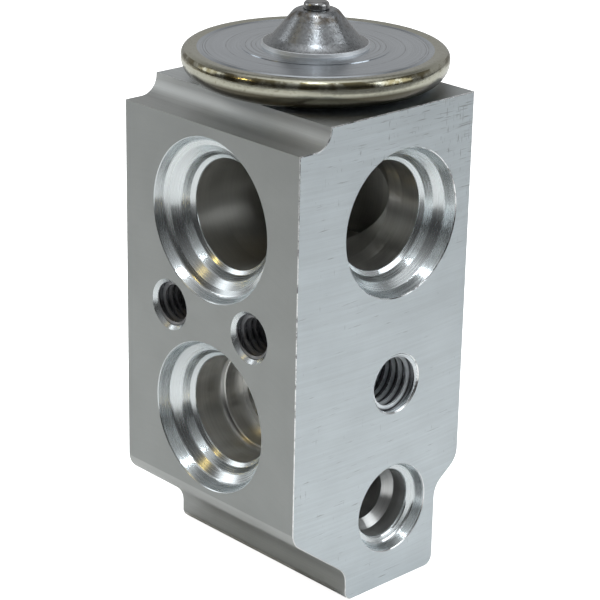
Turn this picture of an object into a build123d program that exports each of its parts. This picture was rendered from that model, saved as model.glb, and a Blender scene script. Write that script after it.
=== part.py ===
from build123d import *
import os
from math import radians, sqrt, tan

# Block-type expansion valve with ports at a right angle. Millimetres.
# The valve axis is Z, and the foot of the leg is z = 0.
# The front face (-Y) takes the evaporator pipes, the side face (+X) the two other pipes.

# Extruded bar that the body is sawn from, in its YZ section
body_length = 33.3
front_depth = 18.2
back_depth = 12.55
leg_front = 8.4
leg_back = 8.3
front_margin = 2.06
front_slope_rise = 7.48
back_slope_low = 11.68
back_slope_rise = 3.1
cove_depth = 5.2
cove_height = 2.75
bend_radius = 3.0
foot_edge_radius = 1.4
cove_radius = 2.5
sawn_edge_break = 0.12

# Up the body: adjuster thread, spring chamber, two ports on the front face, head's socket
adjuster_thread_top = 5.0
chamber_length = 10.6
port_spacing = 27.3
head_floor_wall = 1.65
head_socket_depth = 6.4

# Suction passage: the outlet's bore opens into the inlet's, and both are reamed out for the pipe ends
port_bore_radius = 7.35
reaming_allowance = 0.2
reaming_run_out = 2.0
suction_overrun = 0.6
outlet_drill_allowance = 0.1

# Stepped mouths: the steps behind the mouth are the same on the three large ports
throat_step = 0.6
shoulder_step = 0.55
mouth_taper = 0.55
shoulder_depth = 2.65
throat_length = 1.1
bore_chamfer = 0.4
mouth_edge_break = 0.12
mouth_corner_radius = 0.55
shoulder_corner_radius = 0.6
throat_corner_radius = 0.25
bore_edge_radius = 0.2
suction_inlet_mouth_width = 2.4
suction_inlet_mouth_depth = 1.37
suction_inlet_ledge_width = 0.8
suction_inlet_ledge_drop = 0.33
suction_outlet_mouth_width = 1.45
suction_outlet_mouth_depth = 1.57
liquid_outlet_mouth_width = 1.8
liquid_outlet_mouth_depth = 1.78

# Liquid outlet on the front face, above the valve seat
outlet_bore_step = 0.7
outlet_step_depth = 8.9
outlet_step_corner_radius = 0.55
outlet_step_edge_radius = 0.1
outlet_step_length = 3.15
outlet_chamber_radius = 5.65
outlet_chamber_overrun = 3.6

# Liquid inlet on the side face, into the spring chamber
inlet_drop = 4.4
inlet_mouth_radius = 6.2
inlet_mouth_taper = 0.45
inlet_mouth_depth = 1.9
inlet_bore_radius = 4.75
inlet_ledge_taper = 0.35
inlet_bore_edge_radius = 0.4
inlet_bore_length = 2.52
inlet_throat_radius = 3.6
inlet_throat_taper = 1.18

# Threaded holes, drawn at the outer radius of the thread
clamp_screw_radius = 4.0
clamp_screw_rise = 5.15
clamp_screw_depth = 9.0
clamp_screw_chamfer = 0.24
flange_screw_radius = 3.0
flange_screw_spacing = 15.6
flange_screw_depth = 12.0
flange_screw_chamfer = 0.5
drill_point_angle = 118.0

# Spring chamber, valve seat and the other bores on the valve axis
chamber_radius = 5.3
adjuster_thread_step = 0.45
adjuster_mouth_chamfer = 0.4
orifice_radius = 1.7
seat_land = 1.95
seat_mouth_radius = 2.8
seat_mouth_depth = 0.9
rod_radius = 1.2
rod_guide_clearance = 0.05
stem_radius = 2.8
stem_guide_length = 7.6
stem_guide_clearance = 0.05
seal_pocket_width = 1.5
seal_pocket_depth = 3.05

# Head socket in the top of the body
head_thread_clearance = 0.05
stem_window_radius = 5.5
head_seal_pocket_width = 2.5
head_seal_pocket_depth = 1.6

# Head: two covers welded at their rims over the diaphragm
head_gap = 0.55
rim_radius = 17.45
rim_rise = 1.2
upper_rim_rounding = 1.05
weld_width = 0.4
lower_cover_drop = 3.05
lower_rim_rounding = 2.9
lower_sheet = 1.2
upper_sheet = 0.75
neck_radius = 8.7
neck_wall = 1.3
neck_floor_gap = 1.0
neck_bend_radius = 0.6
bead_width = 2.1
groove_half_width = 0.35
groove_depth = 0.14
groove_inner_slope = 0.3
annulus_drop = 0.2
annulus_rise = 0.3
ring_line_distance = 2.7
ring_line_drop = 0.1
ring_line_step = 0.06
cone_base_radius = 7.0
cone_base_rise = 0.45
cone_foot_width = 0.9
cone_foot_rise = 0.25
cone_flare_radius = 2.6
cone_top_radius = 2.8
cone_height = 4.33
cone_crown_radius = 1.2
charge_hole_radius = 0.9

# Charge plug that closes the top of the cone
plug_base_radius = 1.75
plug_crown_radius = 1.62
plug_head_height = 1.0
plug_base_rounding = 0.18
plug_crown_rounding = 0.5
plug_shank_length = 1.3
plug_hole_clearance = 0.02

# Diaphragm and the plate under it
diaphragm_thickness = 0.2
diaphragm_edge_gap = 0.05
diaphragm_wave_margin = 1.55
diaphragm_wave_width = 1.6
diaphragm_wave_depth = 0.3
plate_wave_gap = 0.5
plate_thickness = 0.9
plate_gap = 0.02
plate_edge_radius = 0.25
plate_boss_radius = 5.4
plate_boss_length = 4.6
stem_socket_depth = 4.4
stem_socket_clearance = 0.02

# Sensing stem, operating rod, ball and its carrier
stem_end_gap = 1.0
stem_end_chamfer = 0.4
rod_socket_depth = 8.0
rod_socket_clearance = 0.02
rod_tip_radius = 0.85
rod_tip_rise = 1.15
rod_tip_taper = 0.4
ball_radius = 2.25
seat_gap = 0.02
touch_gap = 0.01
carrier_cup_radius = 2.75
carrier_cup_height = 2.1
carrier_flange_clearance = 1.4
carrier_flange_thickness = 0.9
carrier_boss_length = 1.9
carrier_chamfer = 0.2

# Damping spring: a ring with three legs that rub on the chamber wall
damper_thickness = 0.25
damper_hole_clearance = 0.03
damper_ring_inset = 0.2
damper_leg_width = 2.2
damper_leg_count = 3
damper_first_leg_angle = 60.0
damper_wall_gap = 0.25
damper_elbow_inset = 0.7
damper_heel_drop = 2.6
damper_toe_inset = 0.45
damper_toe_drop = 3.5

# Closing spring between the carrier and the adjusting screw
spring_wire_radius = 0.4
spring_mean_radius = 2.8
spring_turns = 6.0
spring_end_gap = 0.02
spring_boss_clearance = 0.2
spring_cup_clearance = 0.15

# Adjusting screw in the foot
screw_lower_end = 0.9
screw_thread_gap = 0.6
screw_running_clearance = 0.05
screw_land_clearance = 0.08
screw_groove_rise = 0.5
screw_groove_width = 1.4
screw_groove_depth = 1.2
screw_lip = 0.55
screw_cup_depth = 2.85
hex_across_flats = 5.0
hex_depth = 2.5
screw_chamfer = 0.35

# Round seals
head_seal_clearance = 0.1
seal_fit_gap = 0.03

# Seal retainer in the pocket above the stem seal
retainer_thickness = 0.5
retainer_gap = 0.05
retainer_stem_gap = 0.2
retainer_notch_radius = 0.45
retainer_notch_count = 6

# Longest part of its shorter edge that a rounding may take
rounding_edge_share = 0.99

# Body: radii and heights that follow from the sizes above
half_length = body_length / 2
passage_radius = port_bore_radius - reaming_allowance
throat_radius = port_bore_radius + throat_step
shoulder_radius = throat_radius + shoulder_step
throat_depth = shoulder_depth + throat_length
bore_start_depth = throat_depth + bore_chamfer
suction_inlet_mouth_radius = shoulder_radius + suction_inlet_mouth_width
suction_outlet_mouth_radius = shoulder_radius + suction_outlet_mouth_width
liquid_outlet_mouth_radius = shoulder_radius + liquid_outlet_mouth_width
chamber_top = adjuster_thread_top + chamber_length
seat_edge_height = chamber_top + seat_mouth_depth
liquid_outlet_height = seat_edge_height + seat_land + outlet_chamber_radius
suction_height = liquid_outlet_height + port_spacing
head_thread_floor = suction_height + passage_radius + head_floor_wall
body_height = head_thread_floor + head_socket_depth
front_slope_high = liquid_outlet_height - liquid_outlet_mouth_radius - front_margin
clamp_screw_height = liquid_outlet_height + clamp_screw_rise
flange_screw_height = (liquid_outlet_height + suction_height) / 2
liquid_inlet_height = chamber_top - inlet_drop
adjuster_thread_radius = chamber_radius + adjuster_thread_step
seal_pocket_radius = stem_radius + seal_pocket_width
seal_pocket_floor = suction_height - passage_radius - seal_pocket_depth
stem_bore_floor = seal_pocket_floor - stem_guide_length
head_thread_radius = neck_radius + head_thread_clearance
head_seal_pocket_radius = neck_radius + head_seal_pocket_width

# Head and lift group: radii and heights that follow
lower_cover_bottom = body_height + head_gap
rim_height = lower_cover_bottom + lower_cover_drop
rim_top_height = rim_height + rim_rise
annulus_outer_height = rim_top_height - annulus_drop
annulus_inner_height = annulus_outer_height + annulus_rise
ring_line_height = annulus_inner_height - ring_line_drop
cone_base_height = annulus_inner_height + cone_base_rise
cone_top_height = cone_base_height + cone_height
cone_foot_radius = cone_base_radius - cone_foot_width
ring_line_radius = cone_base_radius + ring_line_distance
bead_radius = rim_radius - bead_width
groove_radius = bead_radius - groove_half_width
annulus_outer_radius = groove_radius - groove_inner_slope
lower_land = rim_height - diaphragm_thickness / 2
upper_land = rim_height + diaphragm_thickness / 2
land_inner_radius = rim_radius - lower_sheet
wave_end = land_inner_radius - diaphragm_wave_margin
wave_start = wave_end - diaphragm_wave_width
plate_radius = wave_start - plate_wave_gap
plate_top = lower_land - plate_gap
plate_bottom = plate_top - plate_thickness
boss_bottom = plate_bottom - plate_boss_length
stem_top = boss_bottom + stem_socket_depth - touch_gap
stem_lower_end = stem_bore_floor + stem_end_gap
rod_tip_shoulder = liquid_outlet_height - outlet_chamber_radius + rod_tip_rise
ball_height = seat_edge_height - sqrt(ball_radius**2 - orifice_radius**2) - seat_gap
carrier_apex = ball_height - ball_radius * sqrt(2) - touch_gap
carrier_flange_top = carrier_apex + carrier_flange_thickness
carrier_flange_radius = chamber_radius - carrier_flange_clearance
carrier_boss_radius = spring_mean_radius - spring_wire_radius - spring_boss_clearance
damper_ring_radius = carrier_flange_radius - damper_ring_inset
damper_heel_radius = chamber_radius - damper_wall_gap
damper_elbow_radius = damper_heel_radius - damper_elbow_inset
damper_toe_radius = damper_heel_radius - damper_toe_inset

# Adjusting screw and seals: radii and heights that follow
screw_thread_top = adjuster_thread_top - screw_thread_gap
screw_groove_low = adjuster_thread_top + screw_groove_rise
screw_groove_radius = chamber_radius - screw_groove_depth
screw_top = screw_groove_low + screw_groove_width + screw_lip
screw_cup_floor = screw_top - screw_cup_depth
screw_cup_radius = spring_mean_radius + spring_wire_radius + spring_cup_clearance
seal_pocket_section = seal_pocket_radius - stem_radius - 2 * seal_fit_gap
retainer_bottom = seal_pocket_floor + seal_pocket_section + 2 * seal_fit_gap + retainer_gap
head_seal_section = head_seal_pocket_depth + head_gap - 2 * head_seal_clearance


def largest_rounding(before, corner, after):
    # The rounding whose arc starts just inside the far end of the shorter edge
    edge_in = Vector(*before) - Vector(*corner)
    edge_out = Vector(*after) - Vector(*corner)
    half_angle = radians(edge_in.get_angle(edge_out)) / 2
    return rounding_edge_share * min(edge_in.length, edge_out.length) * tan(half_angle)


def fitted_roundings(corners):
    # Each corner's own rounding, or the largest that its two edges leave room for
    points = [corner[:2] for corner in corners]
    roundings = []
    for index, corner in enumerate(corners):
        wanted = corner[2] if len(corner) > 2 else 0
        if wanted:
            after = points[(index + 1) % len(points)]
            wanted = min(wanted, largest_rounding(points[index - 1], points[index], after))
        roundings.append(wanted)
    return points, roundings


def turned(*corners):
    # A shape turned about Z: each corner is (radius, height) or (radius, height, rounding)
    points, roundings = fitted_roundings(corners)
    with BuildPart() as part:
        with BuildSketch(Plane.XZ):
            with BuildLine():
                FilletPolyline(*points, radius=roundings, close=True)
            make_face()
        revolve(axis=Axis.Z)
    return part.part


def ring_seal(inner_radius, section, middle_height):
    # A round-section seal that lies in a groove or pocket about Z
    with BuildPart() as part:
        with BuildSketch(Plane.XZ):
            with Locations((inner_radius + section / 2, middle_height)):
                Circle(section / 2)
        revolve(axis=Axis.Z)
    return part.part


def on_front_face(cutter, height, across=0.0):
    # A cutter that runs down from z = 0 is laid to run in from the front face
    return Pos(across, -front_depth, height) * Rot(90, 0, 0) * cutter


def on_side_face(cutter, height):
    # A cutter that runs down from z = 0 is laid to run in from the side face
    return Pos(half_length, 0, height) * Rot(0, 90, 0) * cutter


def bar_section():
    # Extruded outline: a cove along the top front edge, and a narrow leg at the foot
    cove_floor = body_height - cove_height
    nose = -front_depth + cove_depth
    corners = [
        (-leg_front, 0, foot_edge_radius),
        (-leg_front, front_slope_high - front_slope_rise, bend_radius),
        (-front_depth, front_slope_high, bend_radius),
        (-front_depth, cove_floor, 0),
        (nose, cove_floor, cove_radius),
        (nose, body_height, 0),
        (back_depth, body_height, 0),
        (back_depth, back_slope_low + back_slope_rise, bend_radius),
        (leg_back, back_slope_low, bend_radius),
        (leg_back, 0, foot_edge_radius),
    ]
    with BuildSketch(Plane.YZ) as section:
        with BuildLine():
            points, roundings = fitted_roundings(corners)
            FilletPolyline(*points, radius=roundings, close=True)
        make_face()
    return section.sketch


def port_cutter(mouth_radius, mouth_depth, bore, ledge=()):
    # Stepped mouth of a large port; bore and ledge are its own corners
    return turned(
        (0, 0),
        (mouth_radius + mouth_edge_break, 0),
        (mouth_radius, -mouth_edge_break),
        (mouth_radius - mouth_taper, -mouth_depth, mouth_corner_radius),
        *ledge,
        (shoulder_radius, -shoulder_depth, shoulder_corner_radius),
        (throat_radius, -throat_depth, throat_corner_radius),
        (port_bore_radius, -bore_start_depth, bore_edge_radius),
        *bore,
        (0, bore[-1][1]),
    )


def suction_bore(face_distance, drilled_radius, depth):
    # The reamed bore runs out where the two bores meet, and the drilled one goes on from there
    meeting_depth = face_distance - port_bore_radius
    return [
        (port_bore_radius, reaming_run_out - meeting_depth),
        (drilled_radius, -meeting_depth),
        (drilled_radius, -depth),
    ]


def suction_inlet_cutter():
    ledge_radius = suction_inlet_mouth_radius - mouth_taper - suction_inlet_ledge_width
    ledge_depth = suction_inlet_mouth_depth + suction_inlet_ledge_drop
    ledge = [(ledge_radius, -ledge_depth)]
    bore = suction_bore(front_depth, passage_radius, front_depth + passage_radius + suction_overrun)
    return port_cutter(suction_inlet_mouth_radius, suction_inlet_mouth_depth, bore, ledge)


def suction_outlet_cutter():
    # Drilled only to the axis, where it opens inside the inlet's bore
    bore = suction_bore(half_length, passage_radius - outlet_drill_allowance, half_length)
    return port_cutter(suction_outlet_mouth_radius, suction_outlet_mouth_depth, bore)


def liquid_outlet_cutter():
    step_radius = port_bore_radius - outlet_bore_step
    floor_depth = outlet_step_depth + outlet_step_length
    end = front_depth + outlet_chamber_overrun
    bore = [
        (port_bore_radius, -outlet_step_depth, outlet_step_corner_radius),
        (step_radius, -outlet_step_depth, outlet_step_edge_radius),
        (step_radius, -floor_depth),
        (outlet_chamber_radius, -floor_depth),
        (outlet_chamber_radius, -end),
    ]
    return port_cutter(liquid_outlet_mouth_radius, liquid_outlet_mouth_depth, bore)


def liquid_inlet_cutter():
    bore_end_depth = inlet_mouth_depth + inlet_bore_length
    return turned(
        (0, 0),
        (inlet_mouth_radius + mouth_edge_break, 0),
        (inlet_mouth_radius, -mouth_edge_break),
        (inlet_mouth_radius - inlet_mouth_taper, inlet_ledge_taper - inlet_mouth_depth, mouth_corner_radius),
        (inlet_bore_radius, -inlet_mouth_depth, inlet_bore_edge_radius),
        (inlet_bore_radius, -bore_end_depth),
        (inlet_throat_radius, -bore_end_depth - inlet_throat_taper),
        (inlet_throat_radius, -half_length),
        (0, -half_length),
    )


def screw_hole_cutter(radius, depth, chamfer):
    # Blind threaded hole with its drill point
    point_length = radius / tan(radians(drill_point_angle / 2))
    return turned(
        (0, 0),
        (radius + chamfer, 0),
        (radius, -chamfer),
        (radius, -depth),
        (0, -depth - point_length),
    )


def lower_axial_cutter():
    # Bored from the foot up to the suction passage
    guide_radius = rod_radius + rod_guide_clearance
    stem_bore_radius = stem_radius + stem_guide_clearance
    return turned(
        (0, 0),
        (adjuster_thread_radius + adjuster_mouth_chamfer, 0),
        (adjuster_thread_radius, adjuster_mouth_chamfer),
        (adjuster_thread_radius, adjuster_thread_top),
        (chamber_radius, adjuster_thread_top + adjuster_thread_step),
        (chamber_radius, chamber_top),
        (seat_mouth_radius, chamber_top),
        (orifice_radius, seat_edge_height),
        (orifice_radius, liquid_outlet_height),
        (guide_radius, liquid_outlet_height),
        (guide_radius, stem_bore_floor),
        (stem_bore_radius, stem_bore_floor),
        (stem_bore_radius, seal_pocket_floor),
        (seal_pocket_radius, seal_pocket_floor),
        (seal_pocket_radius, suction_height),
        (0, suction_height),
    )


def upper_axial_cutter():
    # Head socket, bored from the top down to the suction passage
    pocket_floor = body_height - head_seal_pocket_depth
    return turned(
        (0, suction_height),
        (stem_window_radius, suction_height),
        (stem_window_radius, head_thread_floor),
        (head_thread_radius, head_thread_floor),
        (head_thread_radius, pocket_floor),
        (head_seal_pocket_radius, pocket_floor),
        (head_seal_pocket_radius, body_height),
        (0, body_height),
    )


def valve_body():
    block = extrude(bar_section(), amount=half_length, both=True)
    sawn_ends = block.faces().filter_by(Axis.X)
    block = chamfer(sawn_ends.edges(), sawn_edge_break)
    block -= on_front_face(suction_inlet_cutter(), suction_height)
    block -= on_side_face(suction_outlet_cutter(), suction_height)
    block -= on_front_face(liquid_outlet_cutter(), liquid_outlet_height)
    block -= on_side_face(liquid_inlet_cutter(), liquid_inlet_height)
    block -= lower_axial_cutter()
    block -= upper_axial_cutter()
    clamp_hole = screw_hole_cutter(clamp_screw_radius, clamp_screw_depth, clamp_screw_chamfer)
    block -= on_side_face(clamp_hole, clamp_screw_height)
    flange_hole = screw_hole_cutter(flange_screw_radius, flange_screw_depth, flange_screw_chamfer)
    for side in (-1, 1):
        across = side * flange_screw_spacing / 2
        block -= on_front_face(flange_hole, flange_screw_height, across)
    return block


def head_lower_cover():
    # Dished sheet whose middle is drawn down into the threaded neck
    neck_inner_radius = neck_radius - neck_wall
    neck_end = head_thread_floor + neck_floor_gap
    floor = lower_cover_bottom + lower_sheet
    return turned(
        (rim_radius, lower_land),
        (rim_radius, lower_cover_bottom, lower_rim_rounding),
        (neck_radius, lower_cover_bottom, neck_bend_radius),
        (neck_radius, neck_end),
        (neck_inner_radius, neck_end),
        (neck_inner_radius, floor, neck_bend_radius),
        (land_inner_radius, floor, lower_rim_rounding - lower_sheet),
        (land_inner_radius, lower_land),
    )


def head_upper_cover():
    # Flat ring with a rolled rim and a drawn cone; the rim closes over the diaphragm's edge
    seam_radius = rim_radius - weld_width
    inner_foot_height = annulus_inner_height - upper_sheet
    return turned(
        (charge_hole_radius, cone_top_height),
        (cone_top_radius, cone_top_height, cone_crown_radius),
        (cone_foot_radius, cone_base_height + cone_foot_rise, cone_flare_radius),
        (cone_base_radius, cone_base_height),
        (cone_base_radius, annulus_inner_height),
        (ring_line_radius, ring_line_height),
        (ring_line_radius, ring_line_height - ring_line_step),
        (annulus_outer_radius, annulus_outer_height),
        (groove_radius, annulus_outer_height - groove_depth),
        (bead_radius, annulus_outer_height),
        (rim_radius, rim_top_height, upper_rim_rounding),
        (rim_radius, lower_land),
        (seam_radius, lower_land),
        (seam_radius, upper_land),
        (land_inner_radius, upper_land),
        (land_inner_radius - upper_sheet, annulus_outer_height - upper_sheet),
        (cone_foot_radius, inner_foot_height),
        (cone_top_radius - upper_sheet / 2, cone_top_height - upper_sheet),
        (charge_hole_radius, cone_top_height - upper_sheet),
    )


def charge_plug():
    shank_radius = charge_hole_radius - plug_hole_clearance
    crown_height = cone_top_height + plug_head_height
    return turned(
        (0, crown_height),
        (plug_crown_radius, crown_height, plug_crown_rounding),
        (plug_base_radius, cone_top_height, plug_base_rounding),
        (shank_radius, cone_top_height),
        (shank_radius, cone_top_height - plug_shank_length),
        (0, cone_top_height - plug_shank_length),
    )


def diaphragm():
    # Thin disc with one pressed wave outside the plate
    edge = rim_radius - weld_width - diaphragm_edge_gap
    wave_middle = (wave_start + wave_end) / 2
    return turned(
        (0, upper_land),
        (wave_start, upper_land),
        (wave_middle, upper_land - diaphragm_wave_depth),
        (wave_end, upper_land),
        (edge, upper_land),
        (edge, lower_land),
        (wave_end, lower_land),
        (wave_middle, lower_land - diaphragm_wave_depth),
        (wave_start, lower_land),
        (0, lower_land),
    )


def diaphragm_plate():
    # Plate under the diaphragm, with the boss that holds the top of the stem
    socket_radius = stem_radius + stem_socket_clearance
    socket_top = boss_bottom + stem_socket_depth
    return turned(
        (0, plate_top),
        (plate_radius, plate_top, plate_edge_radius),
        (plate_radius, plate_bottom, plate_edge_radius),
        (plate_boss_radius, plate_bottom, plate_edge_radius),
        (plate_boss_radius, boss_bottom),
        (socket_radius, boss_bottom),
        (socket_radius, socket_top),
        (0, socket_top),
    )


def sensing_stem():
    # Solid stem across the suction passage, with the rod's socket in its lower end
    socket_radius = rod_radius + rod_socket_clearance
    socket_top = stem_lower_end + rod_socket_depth
    return turned(
        (0, stem_top),
        (stem_radius - stem_end_chamfer, stem_top),
        (stem_radius, stem_top - stem_end_chamfer),
        (stem_radius, stem_lower_end + stem_end_chamfer),
        (stem_radius - stem_end_chamfer, stem_lower_end),
        (socket_radius, stem_lower_end),
        (socket_radius, socket_top),
        (0, socket_top),
    )


def operating_rod():
    # Thin rod from the stem through the outlet chamber to the top of the ball
    rod_top = stem_lower_end + rod_socket_depth - touch_gap
    rod_foot = ball_height + ball_radius + touch_gap
    return turned(
        (0, rod_foot),
        (rod_tip_radius, rod_foot),
        (rod_tip_radius, rod_tip_shoulder),
        (rod_radius, rod_tip_shoulder + rod_tip_taper),
        (rod_radius, rod_top),
        (0, rod_top),
    )


def valve_ball():
    return Pos(0, 0, ball_height) * Sphere(ball_radius)


def ball_carrier():
    # Cup with a right-angled cone that holds the ball, over the spring's flange and spigot
    cup_top = carrier_apex + carrier_cup_height
    return turned(
        (0, carrier_apex),
        (carrier_cup_height, cup_top),
        (carrier_cup_radius, cup_top),
        (carrier_cup_radius, carrier_flange_top),
        (carrier_flange_radius, carrier_flange_top),
        (carrier_flange_radius, carrier_apex),
        (carrier_boss_radius, carrier_apex),
        (carrier_boss_radius, carrier_apex - carrier_boss_length + carrier_chamfer),
        (carrier_boss_radius - carrier_chamfer, carrier_apex - carrier_boss_length),
        (0, carrier_apex - carrier_boss_length),
    )


def damper_leg():
    # One leg in the XZ plane: out over the flange, down to the heel, back in to the toe
    low = carrier_flange_top + touch_gap
    high = low + damper_thickness
    inner_radius = damper_ring_radius - damper_leg_width / 2
    outline = [
        (inner_radius, high),
        (damper_elbow_radius, high),
        (damper_heel_radius, low - damper_heel_drop),
        (damper_toe_radius, low - damper_toe_drop),
        (damper_toe_radius - damper_thickness, low - damper_toe_drop),
        (damper_heel_radius - damper_thickness, low - damper_heel_drop),
        (damper_elbow_radius - damper_thickness, low),
        (inner_radius, low),
    ]
    with BuildPart() as leg:
        with BuildSketch(Plane.XZ):
            with BuildLine():
                Polyline(*outline, close=True)
            make_face()
        extrude(amount=damper_leg_width / 2, both=True)
    return leg.part


def damping_spring():
    low = carrier_flange_top + touch_gap
    high = low + damper_thickness
    hole_radius = carrier_cup_radius + damper_hole_clearance
    spring = turned(
        (hole_radius, low), (damper_ring_radius, low), (damper_ring_radius, high), (hole_radius, high)
    )
    hole = Pos(0, 0, low) * Cylinder(hole_radius, 4 * damper_thickness)
    for index in range(damper_leg_count):
        angle = damper_first_leg_angle + index * 360 / damper_leg_count
        spring += Rot(0, 0, angle) * (damper_leg() - hole)
    return spring


def closing_spring():
    # Helical spring whose two ends are ground flat
    foot = screw_cup_floor + spring_end_gap
    top = carrier_apex - spring_end_gap
    length = top - foot
    with BuildPart() as spring:
        with BuildLine():
            path = Helix(length / spring_turns, length, spring_mean_radius, center=(0, 0, foot))
        with BuildSketch(Plane(path @ 0, z_dir=path % 0)):
            Circle(spring_wire_radius)
        sweep(is_frenet=True)
    ground = Pos(0, 0, (foot + top) / 2) * Cylinder(2 * spring_mean_radius, length)
    return spring.part & ground


def adjusting_screw():
    # Thread and key socket below, seal groove and spring cup above
    thread_radius = adjuster_thread_radius - screw_running_clearance
    land_radius = chamber_radius - screw_land_clearance
    screw = turned(
        (0, screw_lower_end),
        (thread_radius - screw_chamfer, screw_lower_end),
        (thread_radius, screw_lower_end + screw_chamfer),
        (thread_radius, screw_thread_top),
        (land_radius, screw_thread_top),
        (land_radius, screw_groove_low),
        (screw_groove_radius, screw_groove_low),
        (screw_groove_radius, screw_groove_low + screw_groove_width),
        (land_radius, screw_groove_low + screw_groove_width),
        (land_radius, screw_top),
        (screw_cup_radius, screw_top),
        (screw_cup_radius, screw_cup_floor),
        (0, screw_cup_floor),
    )
    socket = RegularPolygon(hex_across_flats / 2, 6, major_radius=False)
    return screw - Pos(0, 0, screw_lower_end) * extrude(socket, amount=hex_depth)


def head_seal():
    pocket_floor = body_height - head_seal_pocket_depth
    middle = (pocket_floor + lower_cover_bottom) / 2
    return ring_seal(neck_radius + 4 * seal_fit_gap, head_seal_section, middle)


def stem_seal():
    middle = seal_pocket_floor + seal_fit_gap + seal_pocket_section / 2
    return ring_seal(stem_radius + seal_fit_gap, seal_pocket_section, middle)


def screw_seal():
    section = chamber_radius - screw_groove_radius - 2 * seal_fit_gap
    middle = screw_groove_low + screw_groove_width / 2
    return ring_seal(screw_groove_radius + seal_fit_gap, section, middle)


def seal_retainer():
    # Push-in ring above the stem seal, notched round its edge to grip the pocket
    inner_radius = stem_radius + retainer_stem_gap
    outer_radius = seal_pocket_radius - touch_gap
    top = retainer_bottom + retainer_thickness
    ring = turned(
        (inner_radius, retainer_bottom),
        (outer_radius, retainer_bottom),
        (outer_radius, top),
        (inner_radius, top),
    )
    notch = Cylinder(retainer_notch_radius, 4 * retainer_thickness)
    for index in range(retainer_notch_count):
        turn = Rot(0, 0, index * 360 / retainer_notch_count)
        ring -= turn * Pos(outer_radius, 0, retainer_bottom) * notch
    return ring


nodes = {
    "valve_body": valve_body,
    "head_lower_cover": head_lower_cover,
    "head_upper_cover": head_upper_cover,
    "charge_plug": charge_plug,
    "diaphragm": diaphragm,
    "diaphragm_plate": diaphragm_plate,
    "sensing_stem": sensing_stem,
    "operating_rod": operating_rod,
    "valve_ball": valve_ball,
    "ball_carrier": ball_carrier,
    "damping_spring": damping_spring,
    "closing_spring": closing_spring,
    "adjusting_screw": adjusting_screw,
    "screw_seal": screw_seal,
    "stem_seal": stem_seal,
    "seal_retainer": seal_retainer,
    "head_seal": head_seal,
}

os.makedirs("parts", exist_ok=True)
for name, make in nodes.items():
    export_step(make(), f"parts/{name}.step")
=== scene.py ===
import bpy
import math
from mathutils import Matrix, Vector


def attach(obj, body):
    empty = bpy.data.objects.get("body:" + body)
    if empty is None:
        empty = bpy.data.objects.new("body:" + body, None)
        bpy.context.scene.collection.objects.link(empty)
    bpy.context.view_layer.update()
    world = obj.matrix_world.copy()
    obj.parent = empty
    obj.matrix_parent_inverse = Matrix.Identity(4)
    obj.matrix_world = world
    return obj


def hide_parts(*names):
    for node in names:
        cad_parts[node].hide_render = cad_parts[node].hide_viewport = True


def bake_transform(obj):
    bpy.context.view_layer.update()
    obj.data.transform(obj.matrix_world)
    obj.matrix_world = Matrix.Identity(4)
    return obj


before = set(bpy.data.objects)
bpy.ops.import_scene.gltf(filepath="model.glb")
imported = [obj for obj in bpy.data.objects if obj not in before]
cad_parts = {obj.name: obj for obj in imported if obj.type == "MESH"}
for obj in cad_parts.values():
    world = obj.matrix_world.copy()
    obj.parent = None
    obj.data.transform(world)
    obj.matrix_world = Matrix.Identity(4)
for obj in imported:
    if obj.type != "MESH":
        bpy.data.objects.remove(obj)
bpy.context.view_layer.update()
scene = bpy.context.scene
mm = 0.001
print("frame loaded:", len(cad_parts), "nodes")


# Selecting and finishing, as by hand

def deselectAll():
    if bpy.context.mode != "OBJECT":
        bpy.ops.object.mode_set(mode="OBJECT")
    bpy.ops.object.select_all(action="DESELECT")


def pick(piece):
    deselectAll()
    piece.select_set(True)
    bpy.context.view_layer.objects.active = piece


def applyPlace(piece):
    pick(piece)
    bpy.ops.object.transform_apply(location=True, rotation=True, scale=True)


def applyModifiers(piece):
    pick(piece)
    for modifier in list(piece.modifiers):
        bpy.ops.object.modifier_apply(modifier=modifier.name)


def wind(piece, pitch, turns, steps):
    winding = piece.modifiers.new("winding", "SCREW")
    winding.angle = 2 * math.pi
    winding.screw_offset = pitch
    winding.iterations = turns
    winding.steps = winding.render_steps = steps
    applyModifiers(piece)


def closeEnds(piece, sides):
    pick(piece)
    bpy.ops.object.mode_set(mode="EDIT")
    bpy.ops.mesh.select_all(action="SELECT")
    bpy.ops.mesh.fill_holes(sides=sides)
    bpy.ops.mesh.select_all(action="SELECT")
    bpy.ops.mesh.normals_make_consistent(inside=False)
    bpy.ops.object.mode_set(mode="OBJECT")


def smoothOver(piece, degrees=40):
    pick(piece)
    bpy.ops.object.shade_smooth_by_angle(angle=math.radians(degrees))


def dress(piece, material):
    piece.data.materials.clear()
    piece.data.materials.append(material)


# Short names for the shader nodes

def feed(tree, node, pairs):
    for slot, value in pairs:
        if isinstance(value, bpy.types.NodeSocket):
            tree.links.new(value, node.inputs[slot])
        elif value is not None:
            node.inputs[slot].default_value = value


def put(tree, kind, inputs=(), out=0, **settings):
    node = tree.nodes.new("ShaderNode" + kind)
    for name, value in settings.items():
        setattr(node, name, value)
    feed(tree, node, inputs.items() if isinstance(inputs, dict) else enumerate(inputs))
    return node.outputs[out]


def sums(tree, operation, *values):
    return put(tree, "Math", values, operation=operation)


def vectors(tree, operation, *values, out=0):
    return put(tree, "VectorMath", values, out=out, operation=operation)


def scaled(tree, vector, factor):
    return put(tree, "VectorMath", {0: vector, "Scale": factor}, operation="SCALE")


def splitAxes(tree, place):
    return [put(tree, "SeparateXYZ", [place], out=axis) for axis in "XYZ"]


def apart(tree, first, second):
    return sums(tree, "ABSOLUTE", sums(tree, "SUBTRACT", first, second))


def fromAxis(tree, across, height):
    squares = [sums(tree, "MULTIPLY", side, side) for side in (across, height)]
    return sums(tree, "SQRT", sums(tree, "ADD", *squares))


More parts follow.
